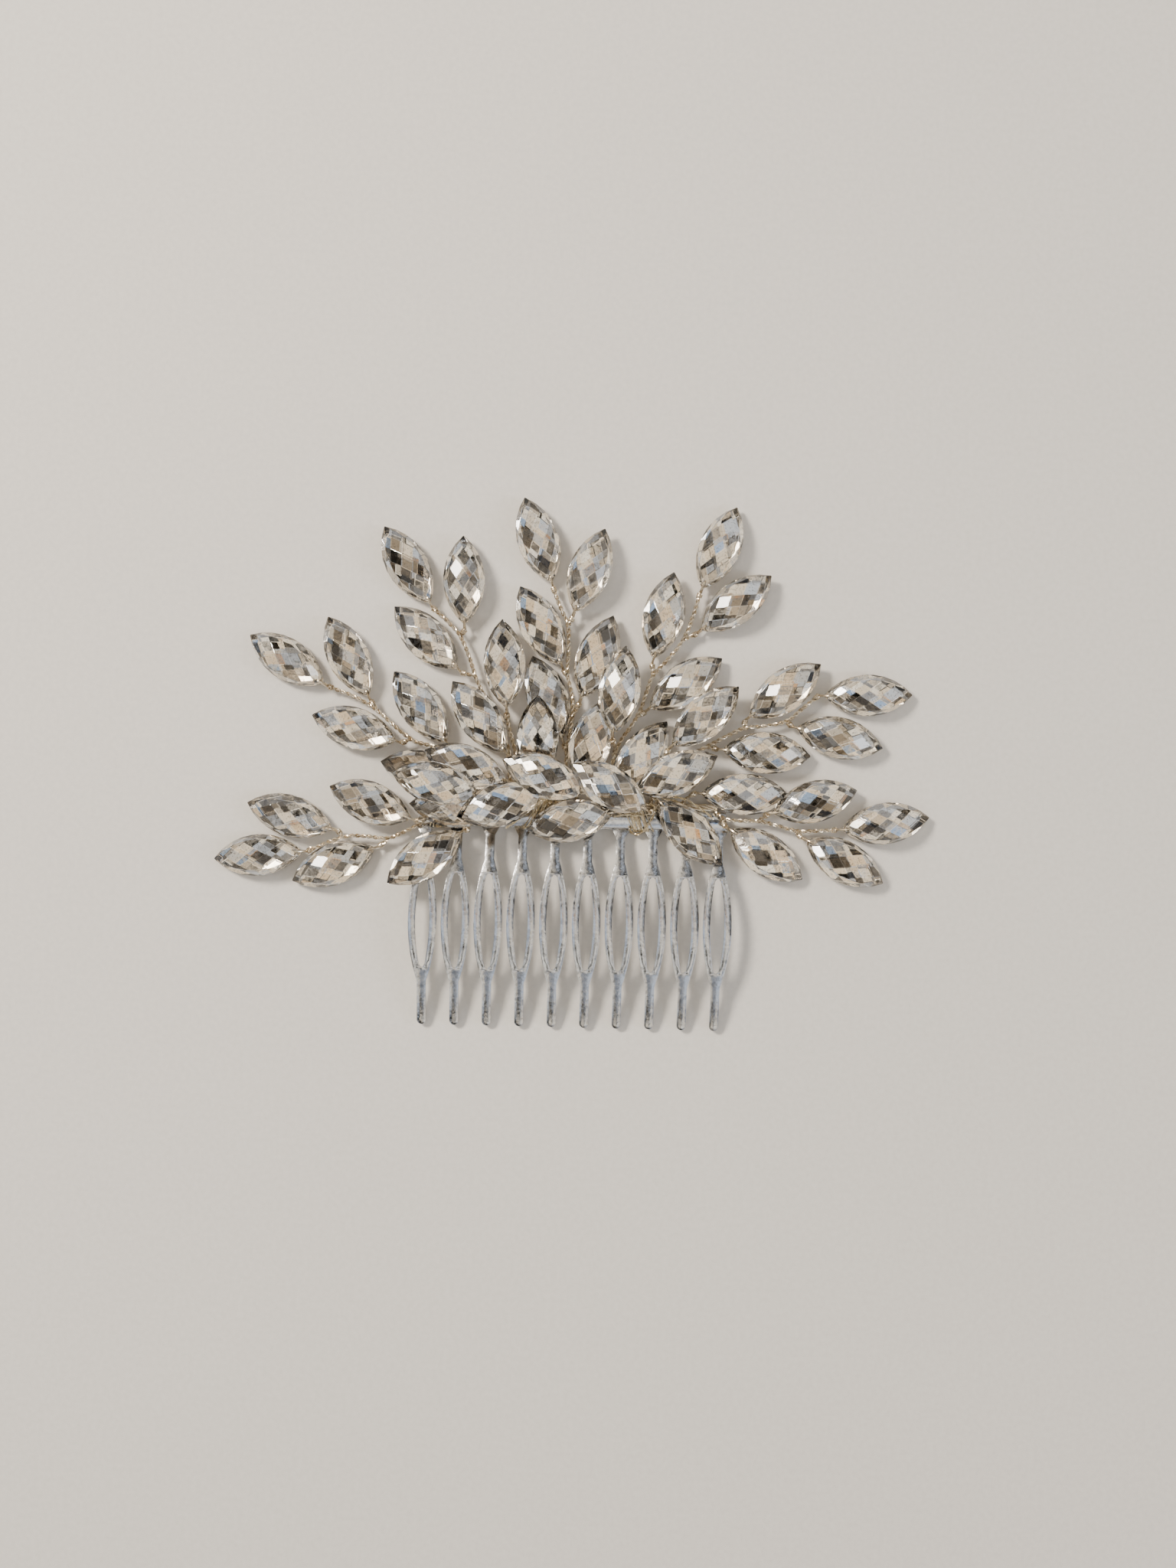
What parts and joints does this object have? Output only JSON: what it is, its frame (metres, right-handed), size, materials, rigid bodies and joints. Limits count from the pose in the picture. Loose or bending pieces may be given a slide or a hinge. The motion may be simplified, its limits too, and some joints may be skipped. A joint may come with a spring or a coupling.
{
  "type": "decorative hair comb",
  "caption": "Cast metal hair comb with looped teeth, its spine dressed with sprays of faceted navette stones on twisted wire stems that bend.",
  "frame": {"origin": "middle of the whole comb's outline, on the surface that it lies on", "axes": "+X along the spine to the wearer's side, +Y from the tooth tips to the sprays, +Z out of the front of the comb"},
  "size_m": [0.1207, 0.0894, 0.0123],
  "materials": {
    "comb_metal": "bright silver plate",
    "stem_wire": "silver plated twisted wire, warm",
    "binding_wire": "fine pale gold wire",
    "stone": "clear acrylic, faceted front, silver foil behind"
  },
  "bodies": {
    "comb_body": {"comb": "comb_metal", "core": "stem_wire", "stems_inner": "stem_wire", "binding_left": "binding_wire", "binding_middle": "binding_wire", "binding_right": "binding_wire", "stone_a4": "stone", "stone_a5": "stone", "stone_b4": "stone", "stone_c4": "stone", "stone_c5": "stone", "stone_d4": "stone", "stone_d5": "stone", "stone_e4": "stone", "stone_e5": "stone", "stone_f4": "stone", "stone_f5": "stone", "stone_g1": "stone", "stone_g5": "stone", "stone_k1": "stone", "stone_k2": "stone", "stone_k3": "stone", "stone_k4": "stone", "stone_k5": "stone", "stone_k6": "stone", "stone_k7": "stone", "stone_k8": "stone", "stone_k9": "stone", "stone_k10": "stone", "stone_t1": "stone", "stone_t2": "stone", "stone_t3": "stone"},
    "spray_a": {"stem_a": "stem_wire", "stone_a1": "stone", "stone_a2": "stone", "stone_a3": "stone"},
    "spray_b": {"stem_b": "stem_wire", "stone_b1": "stone", "stone_b2": "stone", "stone_b3": "stone"},
    "spray_c": {"stem_c": "stem_wire", "stone_c1": "stone", "stone_c2": "stone", "stone_c3": "stone"},
    "spray_d": {"stem_d": "stem_wire", "stone_d1": "stone", "stone_d2": "stone", "stone_d3": "stone"},
    "spray_e": {"stem_e": "stem_wire", "stone_e1": "stone", "stone_e2": "stone", "stone_e3": "stone"},
    "spray_f": {"stem_f": "stem_wire", "stone_f2": "stone", "stone_f3": "stone", "stone_f1": "stone"},
    "spray_g": {"stem_g": "stem_wire", "stone_g3": "stone", "stone_g4": "stone", "stone_g2": "stone"}
  },
  "joints": [
    {"name": "bend_a", "type": "hinge", "parent": "comb_body", "child": "spray_a", "pos_m": [-0.0285, -0.0123, 0.002], "axis": [-0.4695, 0.8829, 0], "range_deg": [-1.5, 30]},
    {"name": "bend_b", "type": "hinge", "parent": "comb_body", "child": "spray_b", "pos_m": [-0.0262, 0.0028, 0.002], "axis": [0.342, 0.9397, 0], "range_deg": [-1.5, 30]},
    {"name": "bend_c", "type": "hinge", "parent": "comb_body", "child": "spray_c", "pos_m": [-0.0165, 0.0132, 0.0022], "axis": [0.9272, 0.3746, 0], "range_deg": [-1.5, 30]},
    {"name": "bend_d", "type": "hinge", "parent": "comb_body", "child": "spray_d", "pos_m": [-0.0009, 0.013, 0.0022], "axis": [0.9511, 0.309, 0], "range_deg": [-1.5, 30]},
    {"name": "bend_e", "type": "hinge", "parent": "comb_body", "child": "spray_e", "pos_m": [0.0122, 0.013, 0.0022], "axis": [0.9613, -0.2756, 0], "range_deg": [-1.5, 30]},
    {"name": "bend_f", "type": "hinge", "parent": "comb_body", "child": "spray_f", "pos_m": [0.026, 0.0054, 0.0022], "axis": [0.5, -0.866, 0], "range_deg": [-1.5, 30]},
    {"name": "bend_g", "type": "hinge", "parent": "comb_body", "child": "spray_g", "pos_m": [0.0286, -0.009, 0.0022], "axis": [0, -1, 0], "range_deg": [0, 30]}
  ]
}
